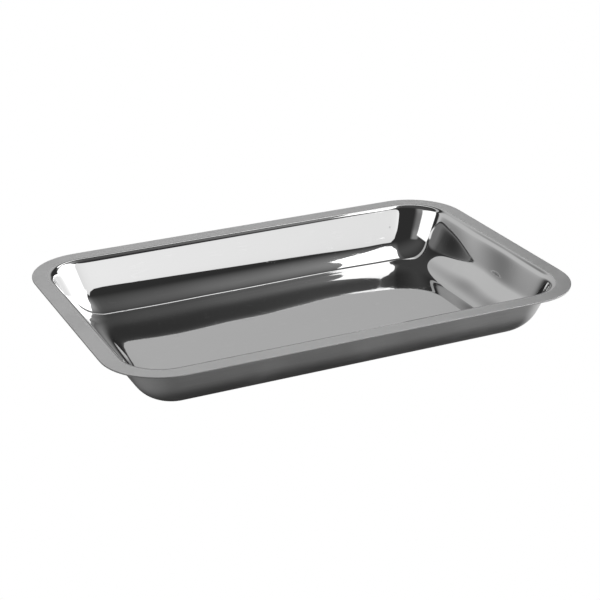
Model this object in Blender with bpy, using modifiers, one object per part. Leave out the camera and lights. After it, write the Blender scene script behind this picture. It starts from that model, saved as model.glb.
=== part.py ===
"""Rectangular instrument tray, deep drawn from one sheet of stainless steel.

Metres, +Z up. The origin is at the centre of the underside of the flat base, so the tray
stands on z = 0. +X runs along the long side, +Y across it. The sheet is drawn down from a
flat flange: a tight bend, a leaning wall, a generous fillet and a flat floor. The two end
walls lean further out than the two side walls, and the corners turn from one to the other.
"""
import math

import bmesh
import bpy

# Driving dimensions
TRAY_LENGTH = 0.300            # over the flange, along X
TRAY_WIDTH = 0.1965            # over the flange, along Y
TRAY_HEIGHT = 0.0325           # underside of the base to the top of the flange
SHEET = 0.0008                 # thickness of the steel
FLANGE_WIDTH = 0.0094          # flat part of the flange, from its cut edge to the bend
CORNER_RADIUS = 0.0366         # plan radius of the flange's cut edge
MOUTH_RADIUS = 0.0272          # plan radius of the corner where the bend starts
FLOOR_RADIUS = 0.0050          # plan radius of the corner where the flat floor starts
BEND_RADIUS = 0.0029           # from the flange into the wall, on the inside face
FILLET_RADIUS = 0.0236         # from the wall into the floor, on the inside face
SIDE_LEAN = math.radians(16.3)  # of the long side walls away from upright
END_LEAN = math.radians(24.3)  # of the short end walls away from upright

# Smoothness of the mesh
CORNER_SEGMENTS = 12
BEND_SEGMENTS = 5
FILLET_SEGMENTS = 9
SMOOTH_ANGLE = math.radians(40.0)
MERGE_DISTANCE = 0.00001

# Finish
STEEL_COLOUR = (0.58, 0.58, 0.58, 1.0)
STEEL_ROUGHNESS = 0.12


def clear_scene():
    """Remove every object that the scene holds."""
    for scene_object in list(bpy.data.objects):
        bpy.data.objects.remove(scene_object, do_unlink=True)


def make_collection(name):
    """Return a new collection linked under the scene."""
    collection = bpy.data.collections.new(name)
    bpy.context.scene.collection.children.link(collection)
    return collection


def make_steel():
    """Return the polished stainless steel material."""
    material = bpy.data.materials.new("polished_stainless_steel")
    material.use_nodes = True
    shader = material.node_tree.nodes["Principled BSDF"]
    shader.inputs["Base Color"].default_value = STEEL_COLOUR
    shader.inputs["Metallic"].default_value = 1.0
    shader.inputs["Roughness"].default_value = STEEL_ROUGHNESS
    return material


def wall_profile(lean):
    """Return (inset, drop) stations of the inside face, from the cut edge to the flat floor.

    The inset is measured in from the cut edge and the drop down from the top of the flange.
    Profiles of any lean have the same number of stations, so they pair up one to one.
    """
    depth = TRAY_HEIGHT - SHEET
    stations = [(0.0, 0.0), (FLANGE_WIDTH, 0.0)]
    for step in range(1, BEND_SEGMENTS + 1):
        turn = (math.pi / 2 - lean) * step / BEND_SEGMENTS
        inset = FLANGE_WIDTH + BEND_RADIUS * math.sin(turn)
        drop = BEND_RADIUS * (1.0 - math.cos(turn))
        stations.append((inset, drop))
    bend_inset, bend_drop = stations[-1]
    fillet_drop = depth - FILLET_RADIUS * (1.0 - math.sin(lean))
    fillet_inset = bend_inset + (fillet_drop - bend_drop) * math.tan(lean)
    for step in range(FILLET_SEGMENTS + 1):
        turn = lean + (math.pi / 2 - lean) * step / FILLET_SEGMENTS
        inset = fillet_inset + FILLET_RADIUS * (math.cos(lean) - math.cos(turn))
        drop = fillet_drop + FILLET_RADIUS * (math.sin(turn) - math.sin(lean))
        stations.append((inset, drop))
    return stations


def plan_radius(inset, floor_inset):
    """Return the plan radius of the corner at an inset of the side wall."""
    if inset <= FLANGE_WIDTH:
        share = inset / FLANGE_WIDTH
        return CORNER_RADIUS + (MOUTH_RADIUS - CORNER_RADIUS) * share
    share = (inset - FLANGE_WIDTH) / (floor_inset - FLANGE_WIDTH)
    return MOUTH_RADIUS + (FLOOR_RADIUS - MOUTH_RADIUS) * share


def section(end_station, side_station, radius):
    """Return the points of one rounded rectangle, anticlockwise seen from above.

    The end walls and the side walls drop by different amounts at the same station, and the
    height turns from one to the other round each corner.
    """
    end_inset, end_drop = end_station
    side_inset, side_drop = side_station
    centre_x = TRAY_LENGTH / 2 - end_inset - radius
    centre_y = TRAY_WIDTH / 2 - side_inset - radius
    points = []
    for quarter, (sign_x, sign_y) in enumerate(((1, 1), (-1, 1), (-1, -1), (1, -1))):
        for step in range(CORNER_SEGMENTS + 1):
            angle = math.pi / 2 * (quarter + step / CORNER_SEGMENTS)
            end_share = math.cos(angle) ** 2
            drop = end_drop * end_share + side_drop * (1.0 - end_share)
            x = sign_x * centre_x + radius * math.cos(angle)
            y = sign_y * centre_y + radius * math.sin(angle)
            points.append((x, y, TRAY_HEIGHT - drop))
    return points


def make_loop(work, points):
    """Add one closed loop of edges through the points, and return the edges."""
    verts = [work.verts.new(point) for point in points]
    edges = []
    for index, vert in enumerate(verts):
        edges.append(work.edges.new((vert, verts[(index + 1) % len(verts)])))
    return edges


def make_tray(collection):
    """Build the tray: its inside face is lofted, then thickened outwards to the sheet."""
    end_stations = wall_profile(END_LEAN)
    side_stations = wall_profile(SIDE_LEAN)
    floor_inset = side_stations[-1][0]
    work = bmesh.new()
    upper_loop = None
    for end_station, side_station in zip(end_stations, side_stations):
        radius = plan_radius(side_station[0], floor_inset)
        lower_loop = make_loop(work, section(end_station, side_station, radius))
        if upper_loop:
            bmesh.ops.bridge_loops(work, edges=upper_loop + lower_loop)
        upper_loop = lower_loop
    bmesh.ops.edgeloop_fill(work, edges=upper_loop)
    bmesh.ops.remove_doubles(work, verts=work.verts, dist=MERGE_DISTANCE)
    bmesh.ops.recalc_face_normals(work, faces=work.faces)
    floor = min(work.faces, key=lambda face: face.calc_center_median().z)
    if floor.normal.z < 0.0:
        bmesh.ops.reverse_faces(work, faces=work.faces)

    mesh = bpy.data.meshes.new("tray")
    work.to_mesh(mesh)
    work.free()
    mesh.shade_smooth()
    mesh.set_sharp_from_angle(angle=SMOOTH_ANGLE)
    mesh.materials.append(make_steel())
    tray = bpy.data.objects.new("tray", mesh)
    collection.objects.link(tray)

    sheet = tray.modifiers.new("sheet", "SOLIDIFY")
    sheet.thickness = SHEET
    sheet.offset = -1.0
    sheet.use_even_offset = True
    return tray


def main():
    """Build the whole object."""
    clear_scene()
    parts = make_collection("instrument_tray")
    make_tray(parts)


main()
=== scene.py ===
"""Polished stainless steel instrument tray: fine pressing, finishes and studio."""
import sys

import logging
import math
from dataclasses import dataclass
from enum import Enum
from typing import Any

import bpy
from mathutils import Matrix, Vector


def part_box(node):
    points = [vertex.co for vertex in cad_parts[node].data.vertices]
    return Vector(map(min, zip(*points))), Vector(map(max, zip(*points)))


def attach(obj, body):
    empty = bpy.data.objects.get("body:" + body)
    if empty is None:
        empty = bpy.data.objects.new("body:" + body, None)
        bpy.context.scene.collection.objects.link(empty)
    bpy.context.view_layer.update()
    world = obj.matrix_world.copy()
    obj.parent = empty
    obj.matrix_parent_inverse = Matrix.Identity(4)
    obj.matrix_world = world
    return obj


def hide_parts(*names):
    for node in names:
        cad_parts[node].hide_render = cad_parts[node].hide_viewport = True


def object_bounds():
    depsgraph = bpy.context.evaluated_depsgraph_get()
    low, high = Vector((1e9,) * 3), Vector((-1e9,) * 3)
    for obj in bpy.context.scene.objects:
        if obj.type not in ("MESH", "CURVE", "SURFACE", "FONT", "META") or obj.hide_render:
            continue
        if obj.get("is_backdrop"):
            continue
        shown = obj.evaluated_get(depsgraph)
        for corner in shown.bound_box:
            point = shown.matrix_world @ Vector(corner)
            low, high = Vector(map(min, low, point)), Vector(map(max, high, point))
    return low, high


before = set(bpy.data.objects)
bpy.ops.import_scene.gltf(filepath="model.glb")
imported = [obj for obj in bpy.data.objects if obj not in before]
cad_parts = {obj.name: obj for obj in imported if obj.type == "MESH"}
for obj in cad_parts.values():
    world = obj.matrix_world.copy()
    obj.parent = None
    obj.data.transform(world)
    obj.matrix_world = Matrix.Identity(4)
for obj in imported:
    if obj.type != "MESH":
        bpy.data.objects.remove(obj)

LOG = logging.getLogger("instrument_tray")
NODE = "tray"
BODY = "root"
LEAST_DEPTH = 0.001
WHITE = (1.0, 1.0, 1.0, 1.0)


class Finish(Enum):
    """The finishes of the sheet, in the order of the piece's material slots."""

    MIRROR = 0
    FLANGE = 1
    OUTSIDE = 2
    UNDER_FLANGE = 3
    CUT_EDGE = 4


@dataclass(frozen=True)
class WallProfile:
    """One wall in section: flat flange, tight bend, leaning wall, fillet and floor.

    Args:
        flange: width of the flat flange.
        bend: radius from the flange into the wall.
        fillet: radius from the wall into the floor.
        lean: how far the wall leans out of the vertical.
        depth: from the flange's face down to the floor's.
    """

    flange: float
    bend: float
    fillet: float
    lean: float
    depth: float

    def bend_end(self) -> tuple[float, float]:
        """Return the inset and the drop where the bend meets the straight wall."""
        turn = math.pi / 2 - self.lean
        return self.flange + self.bend * math.sin(turn), self.bend * (1.0 - math.cos(turn))

    def fillet_start(self) -> tuple[float, float]:
        """Return the inset and the drop where the straight wall meets the fillet."""
        bend_inset, bend_drop = self.bend_end()
        drop = self.depth - self.fillet * (1.0 - math.sin(self.lean))
        return bend_inset + (drop - bend_drop) * math.tan(self.lean), drop

    def drops(self, bend_steps: int, wall_steps: int, fillet_steps: int) -> list[float]:
        """Return the drops of the sections, from below the flange down to the floor.

        Args:
            bend_steps: sections on the bend.
            wall_steps: sections on the straight wall.
            fillet_steps: sections on the fillet.

        Returns:
            The drops, in order, each below the last.
        """
        result = []
        turn = math.pi / 2 - self.lean
        for step in range(1, bend_steps + 1):
            result.append(self.bend * (1.0 - math.cos(turn * step / bend_steps)))
        top, bottom = self.bend_end()[1], self.fillet_start()[1]
        for step in range(1, wall_steps + 1):
            result.append(top + (bottom - top) * step / wall_steps)
        for step in range(1, fillet_steps + 1):
            angle = self.lean + turn * step / fillet_steps
            result.append(bottom + self.fillet * (math.sin(angle) - math.sin(self.lean)))
        return result

    def inset(self, drop: float) -> float:
        """Return how far in from the cut edge the inside face is at a drop.

        Args:
            drop: depth below the flange's face.

        Returns:
            The distance in from the cut edge.
        """
        bend_inset, bend_drop = self.bend_end()
        fillet_inset, fillet_drop = self.fillet_start()
        if drop <= bend_drop:
            cosine = 1.0 - drop / self.bend
            return self.flange + self.bend * math.sqrt(max(0.0, 1.0 - cosine * cosine))
        if drop <= fillet_drop:
            return bend_inset + (drop - bend_drop) * math.tan(self.lean)
        sine = min(1.0, math.sin(self.lean) + (drop - fillet_drop) / self.fillet)
        return fillet_inset + self.fillet * (math.cos(self.lean) - math.sqrt(1.0 - sine * sine))


@dataclass(frozen=True)
class Dent:
    """A soft rise or hollow in the inside face, as years of use leave.

    Args:
        place: the middle of it.
        push: how far the face is moved there, and which way.
        reach: how far from the middle it fades to nothing.
    """

    place: tuple[float, float, float]
    push: tuple[float, float, float]
    reach: float


@dataclass
class Pressing:
    """The tray: one drawn sheet, modelled by its inside face and given its thickness.

    Args:
        length: along X, over the flange.
        width: along Y, over the flange.
        height: from the underside to the flange's face.
        sheet: thickness of the sheet.
        flange: width of the flat flange.
        bend: radius from the flange into the wall.
        fillet: radius from the wall into the floor.
        side_lean: lean of the long walls out of the vertical.
        end_lean: lean of the short walls.
        corner_radius: radius of the cut edge's corners.
        mouth_radius: radius of the mouth's corners, where the bend starts.
        floor_radius: radius of the floor's corners.
        corner_segments: facets to a corner before smoothing.
        flange_rings: sections on the flange, as shares of its width.
        bend_steps: sections on the bend.
        wall_steps: sections on the straight wall.
        fillet_steps: sections on the fillet.
        floor_rings: sections on the floor, as shares of its size.
        stack_gap: how far apart the sections are stacked for the bridging.
        cut_reach: how far from the middle the cuts along X and along Y go.
        cut_counts: how many cuts there are each way.
        dents: what is out of true.
        flat_share: how far into the bend the flange's finish runs, as a share of its radius.
        edge_bevel: width of the eased cut edge.
        sharp_angle: edges sharper than this stay crisp.
        name: the piece's name.
    """

    length: float
    width: float
    height: float
    sheet: float = 0.0008
    flange: float = 0.0094
    bend: float = 0.0040
    fillet: float = 0.0236
    side_lean: float = math.radians(16.3)
    end_lean: float = math.radians(24.3)
    corner_radius: float = 0.0366
    mouth_radius: float = 0.0272
    floor_radius: float = 0.0050
    corner_segments: int = 12
    flange_rings: tuple[float, ...] = (0.0, 0.08, 0.5, 0.92, 1.0)
    bend_steps: int = 4
    wall_steps: int = 3
    fillet_steps: int = 12
    floor_rings: tuple[float, ...] = (0.96, 0.91)
    stack_gap: float = 0.05
    cut_reach: tuple[float, float] = (0.094, 0.055)
    cut_counts: tuple[int, int] = (25, 13)
    dents: tuple[Dent, ...] = (
        Dent((0.058, 0.043, 0.0008), (0.0, 0.0, 0.00045), 0.042),
        Dent((0.022, 0.043, 0.0008), (0.0, 0.0, 0.00030), 0.042),
        Dent((-0.067, 0.043, 0.0008), (0.0, 0.0, -0.00028), 0.042),
        Dent((0.1300, -0.010, 0.0150), (0.0007, 0.0, 0.0), 0.030),
        Dent((0.1330, 0.032, 0.0220), (-0.0004, 0.0, 0.0), 0.022),
    )
    flat_share: float = 0.02
    edge_bevel: float = 0.00018
    sharp_angle: float = math.radians(40.0)
    name: str = "tray_pressing"

    @property
    def depth(self) -> float:
        """Return the depth of the inside."""
        return self.height - self.sheet

    @property
    def ring(self) -> int:
        """Return how many vertices a section has."""
        return 4 * (self.corner_segments + 1)

    def wall(self, lean: float) -> WallProfile:
        """Return the section of a wall with the given lean."""
        return WallProfile(self.flange, self.bend, self.fillet, lean, self.depth)

    def sections(self) -> list[tuple[float, float, float, float]]:
        """Return (half length, half width, corner radius, height) of every section.

        Returns:
            The sections from the cut edge, down the wall and in across the floor.
        """
        side, end = self.wall(self.side_lean), self.wall(self.end_lean)
        half_x, half_y = self.length / 2, self.width / 2
        result = []
        for share in self.flange_rings:
            inset = self.flange * share
            radius = self.corner_radius + (self.mouth_radius - self.corner_radius) * share
            result.append((half_x - inset, half_y - inset, radius, self.height))
        floor_inset = side.inset(self.depth)
        for drop in side.drops(self.bend_steps, self.wall_steps, self.fillet_steps):
            inset = side.inset(drop)
            share = (inset - self.flange) / (floor_inset - self.flange)
            radius = self.mouth_radius + (self.floor_radius - self.mouth_radius) * share
            result.append((half_x - end.inset(drop), half_y - inset, radius, self.height - drop))
        floor_x, floor_y, floor_radius, floor_z = result[-1]
        for ring in self.floor_rings:
            result.append((floor_x * ring, floor_y * ring, floor_radius * ring, floor_z))
        return result

    def add_section(self, half_x: float, half_y: float, radius: float, height: float) -> None:
        """Add a plane in edit mode and round its corners; it is left selected.

        Args:
            half_x: half its length.
            half_y: half its width.
            radius: radius of its corners.
            height: where it lies.
        """
        centre = (0.0, 0.0, height)
        bpy.ops.mesh.primitive_plane_add(size=2.0, location=centre)
        bpy.ops.transform.resize(value=(half_x, half_y, 1.0), center_override=centre)
        bpy.ops.mesh.bevel(offset=radius, segments=self.corner_segments, affect="VERTICES")

    def select_pair(self, piece: bpy.types.Object, upper: int) -> None:
        """Select the edges of one section and of the next one down, and nothing else.

        Args:
            piece: the object, in edit mode, one ring of vertices to a section.
            upper: the number of the upper section.
        """
        first, last = upper * self.ring, (upper + 2) * self.ring
        bpy.ops.mesh.select_all(action="DESELECT")
        bpy.ops.object.mode_set(mode="OBJECT")
        for vertex in piece.data.vertices:
            vertex.select = first <= vertex.index < last
        for edge in piece.data.edges:
            edge.select = all(first <= index < last for index in edge.vertices)
        bpy.ops.object.mode_set(mode="EDIT")

    def draw(self) -> bpy.types.Object:
        """Model the inside face: sections stacked from the cut edge to the floor, and bridged.

        Returns:
            The inside face, with its normals up and inwards.
        """
        bpy.ops.object.select_all(action="DESELECT")
        bpy.ops.mesh.primitive_plane_add(size=2.0, location=(0.0, 0.0, 0.0))
        piece = bpy.context.active_object
        piece.name = piece.data.name = self.name
        bpy.ops.object.mode_set(mode="EDIT")
        bpy.ops.mesh.select_mode(type="EDGE")
        bpy.ops.mesh.delete(type="VERT")
        sections = self.sections()
        for index, (half_x, half_y, radius, _) in enumerate(sections):
            self.add_section(half_x, half_y, radius, -self.stack_gap * index)
            if index + 1 < len(sections):
                bpy.ops.mesh.delete(type="ONLY_FACE")
        for upper in range(len(sections) - 1):
            self.select_pair(piece, upper)
            bpy.ops.mesh.bridge_edge_loops()
        self.settle(piece, [height for *_, height in sections])
        self.cut_across()
        bpy.ops.mesh.select_all(action="SELECT")
        bpy.ops.mesh.normals_make_consistent(inside=False)
        bpy.ops.object.mode_set(mode="OBJECT")
        if max(piece.data.polygons, key=lambda face: face.area).normal.z < 0.0:
            piece.data.flip_normals()
        return piece

    def settle(self, piece: bpy.types.Object, heights: list[float]) -> None:
        """Move each section from where it was stacked for the bridging to its own height.

        Args:
            piece: the object, in edit mode.
            heights: the sections' heights, in order.
        """
        bpy.ops.object.mode_set(mode="OBJECT")
        for vertex in piece.data.vertices:
            vertex.co.z = heights[vertex.index // self.ring]
        bpy.ops.object.mode_set(mode="EDIT")

    def cut_across(self) -> None:
        """Bisect the mesh in edit mode at even steps along the tray and across it."""
        for axis, (reach, count) in enumerate(zip(self.cut_reach, self.cut_counts)):
            normal = (1.0, 0.0, 0.0) if axis == 0 else (0.0, 1.0, 0.0)
            for step in range(count):
                place = [0.0, 0.0, 0.0]
                place[axis] = reach * (2.0 * step / (count - 1) - 1.0)
                bpy.ops.mesh.select_all(action="SELECT")
                bpy.ops.mesh.bisect(plane_co=place, plane_no=normal)

    def wear(self, piece: bpy.types.Object) -> None:
        """Push the inside face softly out of true where it is dented.

        Args:
            piece: the inside face, in object mode.
        """
        for dent in self.dents:
            place = Vector(dent.place)
            nearest = min(
                piece.data.vertices, key=lambda vertex: (vertex.co - place).length
            ).index
            bpy.ops.object.mode_set(mode="EDIT")
            bpy.ops.mesh.select_mode(type="VERT")
            bpy.ops.mesh.select_all(action="DESELECT")
            bpy.ops.object.mode_set(mode="OBJECT")
            piece.data.vertices[nearest].select = True
            bpy.ops.object.mode_set(mode="EDIT")
            bpy.ops.transform.translate(
                value=dent.push,
                use_proportional_edit=True,
                proportional_edit_falloff="SMOOTH",
                proportional_size=dent.reach,
            )
            bpy.ops.object.mode_set(mode="OBJECT")

    def assign(self, piece: bpy.types.Object) -> None:
        """Give the flange its own slot; the rest of the inside face stays mirror bright.

        Args:
            piece: the inside face.
        """
        for finish in Finish:
            piece.data.materials.append(FINISHES[finish].material())
        level = self.height - self.bend * self.flat_share
        for face in piece.data.polygons:
            flat = all(piece.data.vertices[index].co.z > level for index in face.vertices)
            face.material_index = Finish.FLANGE.value if flat else Finish.MIRROR.value

    def thicken(self, piece: bpy.types.Object) -> None:
        """Smooth the inside face, give it the sheet's thickness and ease the cut edge.

        Args:
            piece: the inside face, with its slots assigned.
        """
        smooth = piece.modifiers.new("smooth", "SUBSURF")
        smooth.levels = smooth.render_levels = 1
        sheet = piece.modifiers.new("sheet", "SOLIDIFY")
        sheet.thickness = self.sheet
        sheet.offset = -1.0
        sheet.use_even_offset = True
        sheet.material_offset = Finish.OUTSIDE.value - Finish.MIRROR.value
        sheet.material_offset_rim = Finish.CUT_EDGE.value - Finish.FLANGE.value
        eased = piece.modifiers.new("eased", "BEVEL")
        eased.width = self.edge_bevel
        eased.segments = 2
        eased.limit_method = "ANGLE"
        eased.angle_limit = self.sharp_angle
        eased.material = Finish.CUT_EDGE.value
        for modifier in (smooth, sheet, eased):
            bpy.ops.object.modifier_apply(modifier=modifier.name)

    def build(self) -> bpy.types.Object:
        """Build the whole pressing.

        Returns:
            The finished piece.
        """
        piece = self.draw()
        self.wear(piece)
        self.assign(piece)
        self.thicken(piece)
        bpy.ops.object.shade_smooth_by_angle(angle=self.sharp_angle)
        LOG.info("%s: %d faces", piece.name, len(piece.data.polygons))
        return piece


class Value:
    """A number in a node tree, with the arithmetic that joins it to others."""

    def __init__(self, desk: "Desk", socket: bpy.types.NodeSocket) -> None:
        """Wrap an output socket.

        Args:
            desk: the desk the socket's tree belongs to.
            socket: the output.
        """
        self.desk = desk
        self.socket = socket

    def __add__(self, other: "Value | float") -> "Value":
        """Return self + other."""
        return self.desk.maths("ADD", self, other)

    __radd__ = __add__

    def __sub__(self, other: "Value | float") -> "Value":
        """Return self - other."""
        return self.desk.maths("SUBTRACT", self, other)

    def __rsub__(self, other: float) -> "Value":
        """Return other - self."""
        return self.desk.maths("SUBTRACT", other, self)

    def __mul__(self, other: "Value | float") -> "Value":
        """Return self * other."""
        return self.desk.maths("MULTIPLY", self, other)

    __rmul__ = __mul__

    def __truediv__(self, other: "Value | float") -> "Value":
        """Return self / other."""
        return self.desk.maths("DIVIDE", self, other)

    def __rtruediv__(self, other: float) -> "Value":
        """Return other / self."""
        return self.desk.maths("DIVIDE", other, self)

    def most(self, other: "Value | float") -> "Value":
        """Return the greater of self and other."""
        return self.desk.maths("MAXIMUM", self, other)

    def ramp(self, start: float, end: float, low: float = 0.0, high: float = 1.0) -> "Value":
        """Return a smooth step.

        Args:
            start: the value it starts at.
            end: the value it ends at.
            low: what it gives up to the start.
            high: what it gives from the end.

        Returns:
            The step.
        """
        return self.desk.node(
            "ShaderNodeMapRange",
            {"interpolation_type": "SMOOTHSTEP", "clamp": True},
            {"Value": self, "From Min": start, "From Max": end, "To Min": low, "To Max": high},
        )


class Desk:
    """The one place where nodes are added to a tree."""

    def __init__(self, tree: bpy.types.NodeTree) -> None:
        """Clear the tree and keep it.

        Args:
            tree: the node tree of a material or a world.
        """
        self.tree = tree
        self.tree.nodes.clear()

    def node(
        self,
        kind: str,
        settings: dict[str, Any] | None = None,
        inputs: dict[str | int, Any] | None = None,
        output: str | int = 0,
    ) -> Value:
        """Add a node: its settings first, then its sockets.

        Args:
            kind: the node's type.
            settings: the node's own settings.
            inputs: what each input socket holds, or the Value linked to it.
            output: the output to return.

        Returns:
            The output asked for.
        """
        node = self.tree.nodes.new(kind)
        for name, setting in (settings or {}).items():
            setattr(node, name, setting)
        for key, value in (inputs or {}).items():
            if isinstance(value, Value):
                self.tree.links.new(value.socket, node.inputs[key])
            else:
                node.inputs[key].default_value = value
        return Value(self, node.outputs[output] if len(node.outputs) else None)

    def maths(self, operation: str, *terms: Value | float) -> Value:
        """Add a Math node.

        Args:
            operation: the node's operation.
            terms: its inputs, in order.

        Returns:
            Its result.
        """
        return self.node("ShaderNodeMath", {"operation": operation}, dict(enumerate(terms)))

    def dot(self, vector: Value, other: Vector) -> Value:
        """Return the dot product of two vectors.

        Args:
            vector: the one that varies.
            other: the fixed one.

        Returns:
            Their dot product.
        """
        settings = {"operation": "DOT_PRODUCT"}
        return self.node("ShaderNodeVectorMath", settings, {0: vector, 1: other}, "Value")

    def grey(self, level: Value | float) -> Value:
        """Return a neutral colour of the given level."""
        sockets = {"Red": level, "Green": level, "Blue": level}
        return self.node("ShaderNodeCombineColor", None, sockets)

    def noise(
        self, vector: Value, scale: float, detail: float = 3.0, rough: float = 0.5
    ) -> Value:
        """Return a noise from 0 to 1.

        Args:
            vector: where it is looked up.
            scale: features to a unit.
            detail: octaves.
            rough: how strong each octave is beside the last.

        Returns:
            The noise.
        """
        sockets = {"Vector": vector, "Scale": scale, "Detail": detail, "Roughness": rough}
        return self.node("ShaderNodeTexNoise", None, sockets)

    def stretched(
        self, vector: Value, scale: tuple[float, float, float], turn: float = 0.0
    ) -> Value:
        """Return a vector turned and scaled, for marks that run one way.

        Args:
            vector: the vector.
            scale: the scale along each axis.
            turn: its turn about Z.

        Returns:
            The new vector.
        """
        sockets = {"Vector": vector, "Rotation": (0.0, 0.0, turn), "Scale": scale}
        return self.node("ShaderNodeMapping", {"vector_type": "POINT"}, sockets)


@dataclass(frozen=True)
class Wear:
    """How fine marks are laid out on the steel; scales are features to a metre.

    Args:
        grain_detail: octaves of the grain, and how strong each is beside the last.
        grain_tone: how far the grain moves the tone, for one unit of its strength.
        grain_roughness: how far it moves the roughness.
        grain_height: how high it stands.
        smear_scale: scale of the hazy patches.
        smear_range: where in the noise a patch starts and is full.
        cloud_scale: scale of the drift in tone.
        wave_scale: scale of the broad unevenness.
        scratch_turns: the directions of the scratches, in degrees.
        scratch_spacings: scratches to a metre in each direction.
        scratch_stretch: how much closer together features are across than along.
        scratch_width: half a scratch's width, as a share of the spacing.
        scratch_breaks: scale of the noise that breaks them.
        scratch_range: where in that noise a scratch starts and is full.
        scratch_highlight_tone: how far a scratch's painted highlight brightens the tone.
        scratch_roughness: how far it adds roughness.
        scratch_depth: how deep it is.
        fleck_scale: scale of the specks.
        fleck_range: where in the noise a speck starts and is full.
        fleck_patches: scale of the patches that hold specks.
        patch_range: where in that noise a patch starts and is full.
        fleck_tone: how far a speck darkens the tone.
        least_roughness: no spot is glossier than this.
    """

    grain_detail: tuple[float, float] = (4.0, 0.6)
    grain_tone: float = 2.0
    grain_roughness: float = 1.5
    grain_height: float = 1.0e-5
    smear_scale: float = 38.0
    smear_range: tuple[float, float] = (0.42, 0.72)
    cloud_scale: float = 14.0
    wave_scale: float = 24.0
    scratch_turns: tuple[float, ...] = (24.0, -61.0)
    scratch_spacings: tuple[float, ...] = (420.0, 330.0)
    scratch_stretch: float = 0.06
    scratch_width: float = 0.035
    scratch_breaks: float = 90.0
    scratch_range: tuple[float, float] = (0.56, 0.66)
    scratch_highlight_tone: float = 0.05
    scratch_roughness: float = 0.16
    scratch_depth: float = 2.0e-6
    fleck_scale: float = 900.0
    fleck_range: tuple[float, float] = (0.70, 0.78)
    fleck_patches: float = 60.0
    patch_range: tuple[float, float] = (0.5, 0.65)
    fleck_tone: float = 0.35
    least_roughness: float = 0.02

    def grain(self, desk: Desk, place: Value, scale: tuple[float, float]) -> Value:
        """Return grain that runs along X.

        Args:
            desk: the material's desk.
            place: object coordinates.
            scale: marks to a metre along the grain and across it.

        Returns:
            A noise from 0 to 1.
        """
        along, across = scale
        return desk.noise(desk.stretched(place, (along, across, across)), 1.0, *self.grain_detail)

    def scratch(self, desk: Desk, place: Value, turn: float, spacing: float) -> Value:
        """Return thin, broken scratches that run one way.

        Args:
            desk: the material's desk.
            place: object coordinates.
            turn: their direction, in degrees.
            spacing: scratches to a metre across them.

        Returns:
            1 on a scratch and 0 between them.
        """
        scale = (spacing * self.scratch_stretch, spacing, spacing)
        lines = desk.stretched(place, scale, math.radians(turn))
        sockets = {"Vector": lines, "Scale": 1.0, "Randomness": 1.0}
        edge = desk.node("ShaderNodeTexVoronoi", {"feature": "DISTANCE_TO_EDGE"}, sockets)
        broken = desk.noise(place, self.scratch_breaks, 2.0).ramp(*self.scratch_range)
        return edge.ramp(0.0, self.scratch_width, 1.0, 0.0) * broken

    def scratched(self, desk: Desk, place: Value) -> Value:
        """Return the scratches of every direction.

        Args:
            desk: the material's desk.
            place: object coordinates.

        Returns:
            1 on a scratch and 0 between them.
        """
        first, second = (
            self.scratch(desk, place, turn, spacing)
            for turn, spacing in zip(self.scratch_turns, self.scratch_spacings)
        )
        return first.most(second)

    def flecks(self, desk: Desk, place: Value) -> Value:
        """Return small specks, gathered in patches.

        Args:
            desk: the material's desk.
            place: object coordinates.

        Returns:
            1 on a speck and 0 between them.
        """
        specks = desk.noise(place, self.fleck_scale, 1.0).ramp(*self.fleck_range)
        return specks * desk.noise(place, self.fleck_patches, 2.0).ramp(*self.patch_range)


WEAR = Wear()


@dataclass(frozen=True)
class Steel:
    """A finish of stainless steel.

    Args:
        name: the material's name.
        tone: linear reflectance.
        tone_spread: how far the tone wanders.
        roughness: roughness of the clean metal.
        haze: roughness added where it is rubbed or smeared.
        grain: how strongly fine marks show.
        grain_scale: marks to a metre along the grain and across it.
        wave: height in metres of the broad unevenness of the sheet.
        scratches: how strongly thin scratches show, together with their painted highlight.
        fleck: how strongly small specks show.
    """

    name: str
    tone: float
    tone_spread: float
    roughness: float
    haze: float
    grain: float
    grain_scale: tuple[float, float] = (60.0, 1400.0)
    wave: float = 0.0
    scratches: float = 0.0
    fleck: float = 0.0

    def material(self) -> bpy.types.Material:
        """Build the material: tone, roughness and fine relief from object coordinates, with a
        painted highlight in the scratches' tone.

        Returns:
            The material.
        """
        material = bpy.data.materials.new(self.name)
        material.use_nodes = True
        desk = Desk(material.node_tree)
        place = desk.node("ShaderNodeTexCoord", output="Object")
        grain = WEAR.grain(desk, place, self.grain_scale)
        smear = desk.noise(place, WEAR.smear_scale, *WEAR.grain_detail).ramp(*WEAR.smear_range)
        cloud = desk.noise(place, WEAR.cloud_scale)
        # Scratch mask: real wear in roughness and relief, and a painted highlight in tone.
        scratch_and_glint = WEAR.scratched(desk, place) * self.scratches
        tone = self.tone + (cloud - 0.5) * self.tone_spread
        tone = tone + (grain - 0.5) * (self.grain * WEAR.grain_tone)
        tone = tone - WEAR.flecks(desk, place) * (self.fleck * WEAR.fleck_tone)
        # Painted highlight: the scratches are made lighter in tone to stand in for the glint they
        # catch.
        tone = tone + scratch_and_glint * WEAR.scratch_highlight_tone
        roughness = self.roughness + smear * self.haze
        roughness = roughness + (grain - 0.5) * (self.grain * WEAR.grain_roughness)
        roughness = (roughness + scratch_and_glint * WEAR.scratch_roughness).most(WEAR.least_roughness)
        relief = grain * (self.grain * WEAR.grain_height)
        relief = relief + desk.noise(place, WEAR.wave_scale, 1.0) * self.wave
        relief = relief - scratch_and_glint * WEAR.scratch_depth
        sockets = {"Strength": 1.0, "Distance": 1.0, "Height": relief}
        bump = desk.node("ShaderNodeBump", None, sockets)
        sockets = {"Base Color": desk.grey(tone), "Metallic": 1.0, "Roughness": roughness}
        shader = desk.node("ShaderNodeBsdfPrincipled", None, {**sockets, "Normal": bump})
        desk.node("ShaderNodeOutputMaterial", None, {"Surface": shader})
        return material


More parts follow.
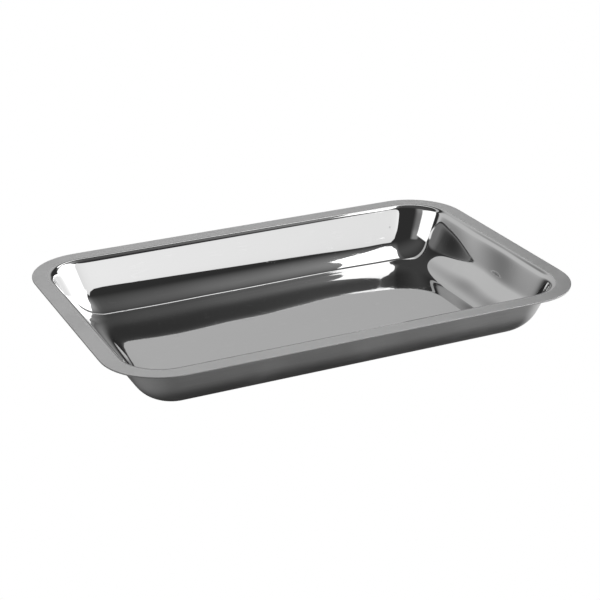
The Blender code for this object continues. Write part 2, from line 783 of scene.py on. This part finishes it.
FINISHES = {
    Finish.MIRROR: Steel(
        "steel_mirror", 0.645, 0.02, 0.018, 0.02, 0.006, wave=0.000004, scratches=0.5
    ),
    Finish.FLANGE: Steel("steel_flange", 0.67, 0.03, 0.30, 0.08, 0.06, (90.0, 1600.0), fleck=0.3),
    Finish.OUTSIDE: Steel("steel_outside", 0.58, 0.03, 0.34, 0.08, 0.05, (50.0, 900.0), fleck=0.4),
    Finish.UNDER_FLANGE: Steel("steel_under_flange", 0.55, 0.03, 0.36, 0.08, 0.05, (50.0, 900.0)),
    Finish.CUT_EDGE: Steel("steel_cut_edge", 0.40, 0.05, 0.42, 0.10, 0.08, (300.0, 2600.0)),
}


def bearing(azimuth: float, elevation: float) -> Vector:
    """Return a unit vector.

    Args:
        azimuth: its bearing from +Y towards +X, in degrees.
        elevation: its angle above the floor, in degrees.

    Returns:
        The vector.
    """
    turn, rise = math.radians(azimuth), math.radians(elevation)
    flat = math.cos(rise)
    return Vector((math.sin(turn) * flat, math.cos(turn) * flat, math.sin(rise)))


@dataclass(frozen=True)
class Card:
    """A rectangle of the studio's walls or ceiling, lit or dark, with a soft edge.

    Args:
        azimuth: bearing of the wall it lies on, in degrees from +Y towards +X.
        elevation: how far that wall leans back, in degrees; 90 is the ceiling.
        left: where it starts, at unit distance; across a wall, right is clockwise.
        right: where it ends.
        bottom: its lower edge, at unit distance.
        top: its upper edge.
        edge: half the width of its soft edge, at unit distance.
        level: its brightness at its centre.
        slope: change of brightness across it and up it.
        turn: its turn in the plane of the wall, in degrees.
        faintest: the least brightness that the slope leaves.
    """

    azimuth: float
    elevation: float
    left: float
    right: float
    bottom: float
    top: float
    edge: float
    level: float
    slope: tuple[float, float] = (0.0, 0.0)
    turn: float = 0.0
    faintest: float = 0.0

    def over(self, desk: Desk, direction: Value, below: Value | float) -> Value:
        """Return the brightness along a direction, with this card laid over the rest.

        Args:
            desk: the world's desk.
            direction: the direction looked along.
            below: brightness of what the card covers.

        Returns:
            The brightness with the card in place.
        """
        ahead = bearing(self.azimuth, self.elevation)
        level_side = bearing(self.azimuth + 90.0, 0.0)
        level_rise = level_side.cross(ahead)
        cosine, sine = math.cos(math.radians(self.turn)), math.sin(math.radians(self.turn))
        side = level_side * cosine + level_rise * sine
        rise = level_rise * cosine - level_side * sine
        depth = desk.dot(direction, ahead)
        across = desk.dot(direction, side) / depth.most(LEAST_DEPTH)
        up = desk.dot(direction, rise) / depth.most(LEAST_DEPTH)
        cover = desk.maths("GREATER_THAN", depth, 0.0)
        for along, low, high in ((across, self.left, self.right), (up, self.bottom, self.top)):
            cover = cover * along.ramp(low - self.edge, low + self.edge)
            cover = cover * along.ramp(high - self.edge, high + self.edge, 1.0, 0.0)
        level = self.level + (across - (self.left + self.right) / 2) * self.slope[0]
        level = (level + (up - (self.bottom + self.top) / 2) * self.slope[1]).most(self.faintest)
        return below * (1.0 - cover) + level * cover


@dataclass(frozen=True)
class Panel:
    """A lit panel hung level over the tray, near enough for its edges to shift across it.

    Args:
        name: the light's name.
        corner: the corner nearest to the tray's centre line.
        height: how high it hangs.
        turn: its turn about Z, in degrees, towards +X on its front side.
        size: how far it reaches from that corner across and along; signs give the way.
        radiance: its brightness.
    """

    name: str
    corner: tuple[float, float]
    height: float
    turn: float
    size: tuple[float, float]
    radiance: float

    def hang(self) -> bpy.types.Object:
        """Add the panel as an area light that faces down.

        Returns:
            The light's object.
        """
        wide, long = abs(self.size[0]), abs(self.size[1])
        light = bpy.data.lights.new(self.name, "AREA")
        light.shape = "RECTANGLE"
        light.size = wide
        light.size_y = long
        light.energy = self.radiance * math.pi * wide * long
        panel = bpy.data.objects.new(self.name, light)
        bpy.context.scene.collection.objects.link(panel)
        turn = Matrix.Rotation(math.radians(-self.turn), 4, "Z")
        middle = turn @ Vector((self.size[0] / 2, self.size[1] / 2, 0.0))
        corner = Vector((*self.corner, self.height))
        panel.matrix_world = Matrix.Translation(corner + middle) @ turn
        panel.visible_camera = False
        return panel


@dataclass(frozen=True)
class Camera:
    """The camera: a long lens looking down on the tray from the front left.

    Args:
        azimuth: its bearing about the tray, from the front.
        elevation: its angle above the floor.
        roll: its turn about its own line of sight.
        distance: from the point it looks at.
        target: where that point is, in X and Y.
        lens: focal length, in millimetres.
        sensor: sensor width, in millimetres.
    """

    azimuth: float = math.radians(-25.33)
    elevation: float = math.radians(23.17)
    roll: float = math.radians(-0.245)
    distance: float = 0.92765
    target: tuple[float, float] = (-0.01555, -0.0331)
    lens: float = 93.79
    sensor: float = 36.0

    def place(self, level: float) -> bpy.types.Object:
        """Add the camera and make it the scene's own.

        Args:
            level: height of the point it looks at.

        Returns:
            The camera's object.
        """
        data = bpy.data.cameras.new("camera")
        data.lens = self.lens
        data.sensor_width = self.sensor
        camera = bpy.data.objects.new("camera", data)
        bpy.context.scene.collection.objects.link(camera)
        flat, rise = math.cos(self.elevation), math.sin(self.elevation)
        back = Vector((math.sin(self.azimuth) * flat, -math.cos(self.azimuth) * flat, rise))
        right = Vector((0.0, 0.0, 1.0)).cross(back).normalized()
        turned = Matrix.Rotation(self.roll, 3, back) @ right
        up = back.cross(turned)
        pose = Matrix((turned, up, back)).transposed().to_4x4()
        pose.translation = Vector((*self.target, level)) + back * self.distance
        camera.matrix_world = pose
        bpy.context.scene.camera = camera
        return camera


@dataclass
class Studio:
    """The floor, the sky with its cards of light, the panels and the camera.

    Args:
        floor_reach: how far the floor goes each way.
        floor_gap: how far below the tray it lies.
        dark: brightness of the sky where no card covers it.
        cards: the cards, each laid over those before it.
        panels: the panels overhead.
    """

    floor_reach: float = 3.0
    floor_gap: float = 0.0004
    dark: float = 0.040
    cards: tuple[Card, ...] = (
        Card(0.0, -90.0, -30.0, 30.0, -30.0, 30.0, 0.5, 0.18),
        Card(0.0, -90.0, -30.0, 30.0, -0.25, 30.0, 0.35, 0.04),
        Card(0.0, -90.0, -30.0, -0.35, -30.0, 30.0, 0.45, 0.34),
        Card(0.0, -90.0, 1.0, 30.0, -30.0, 30.0, 0.45, 0.95),
        Card(180.0, 90.0, -1.5, 1.2, -0.40, 0.42, 0.45, -0.07, (-1.3, 0.0), 0.0, 0.10),
        Card(180.0, 90.0, -0.9, 1.5, 0.66, 0.86, 0.03, -0.55, (-3.5, 0.0), 0.0, 0.65),
        Card(0.0, 0.0, -1.2, 0.72, 0.16, 0.82, 0.14, 0.66, (-0.12, 0.1)),
        Card(225.0, 0.0, 0.05, 0.60, 0.45, 1.20, 0.15, 0.35),
        Card(270.0, 20.0, -0.35, 0.45, -0.2, 0.30, 0.04, 1.8),
        Card(90.0, 0.0, -0.3, 1.3, -0.25, 1.2, 0.05, 1.7),
        Card(90.0, 0.0, 1.3, 9.0, -0.3, 1.6, 0.03, 1.38, (0.07, 0.0)),
    )
    panels: tuple[Panel, ...] = (
        Panel("high_panel_front", (0.515, -0.05), 1.0, -19.3, (3.0, -1.6), 2.0),
        Panel("high_panel_back", (0.515, -0.05), 1.0, 5.7, (3.0, 0.58), 2.0),
    )

    def floor(self) -> bpy.types.Object:
        """Add the pale floor; it stays out of the steel's reflections.

        Returns:
            The floor.
        """
        bpy.ops.object.select_all(action="DESELECT")
        size = self.floor_reach * 2.0
        bpy.ops.mesh.primitive_plane_add(size=size, location=(0.0, 0.0, -self.floor_gap))
        floor = bpy.context.active_object
        floor.name = floor.data.name = "studio_floor"
        material = bpy.data.materials.new("studio_floor")
        material.use_nodes = True
        desk = Desk(material.node_tree)
        glow = desk.node("ShaderNodeEmission", None, {"Color": WHITE, "Strength": 1.0})
        desk.node("ShaderNodeOutputMaterial", None, {"Surface": glow})
        floor.data.materials.append(material)
        floor.visible_glossy = False
        floor.visible_diffuse = False
        floor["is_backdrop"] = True
        return floor

    def sky(self) -> bpy.types.World:
        """Build the world: white to the camera, cards of light to everything else.

        Returns:
            The world.
        """
        world = bpy.data.worlds.new("studio_sky")
        world.use_nodes = True
        bpy.context.scene.world = world
        desk = Desk(world.node_tree)
        direction = desk.node("ShaderNodeTexCoord", output="Generated")
        total: Value | float = self.dark
        for card in self.cards:
            total = card.over(desk, direction, total)
        sockets = {"Color": desk.grey(total), "Strength": 1.0}
        lit = desk.node("ShaderNodeBackground", None, sockets)
        white = desk.node("ShaderNodeBackground", None, {"Color": WHITE, "Strength": 1.0})
        seen = desk.node("ShaderNodeLightPath", output="Is Camera Ray")
        both = desk.node("ShaderNodeMixShader", None, {0: seen, 1: lit, 2: white})
        desk.node("ShaderNodeOutputWorld", None, {"Surface": both})
        return world

    def build(self, level: float) -> None:
        """Set up everything round the tray.

        Args:
            level: height of the tray's flange.
        """
        LOG.info("%s: white floor", self.floor().name)
        LOG.info("%s: %d cards", self.sky().name, len(self.cards))
        for panel in self.panels:
            LOG.info("%s: overhead", panel.hang().name)
        LOG.info("%s: placed", Camera().place(level).name)
        bpy.context.scene.view_settings.view_transform = "Standard"
        bpy.context.scene.view_settings.look = "None"


def main() -> None:
    """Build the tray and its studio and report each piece."""
    logging.basicConfig(level=logging.INFO, format="%(name)s: %(message)s", stream=sys.stdout)
    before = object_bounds()
    low, high = before
    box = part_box(NODE)
    LOG.info("frame box of %s: %s", NODE, box)
    size = Vector(high) - Vector(low)
    tray = Pressing(size.x, size.y, size.z).build()
    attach(tray, BODY)
    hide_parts(NODE)
    Studio().build(high[2])


if __name__ == "__main__":
    main()
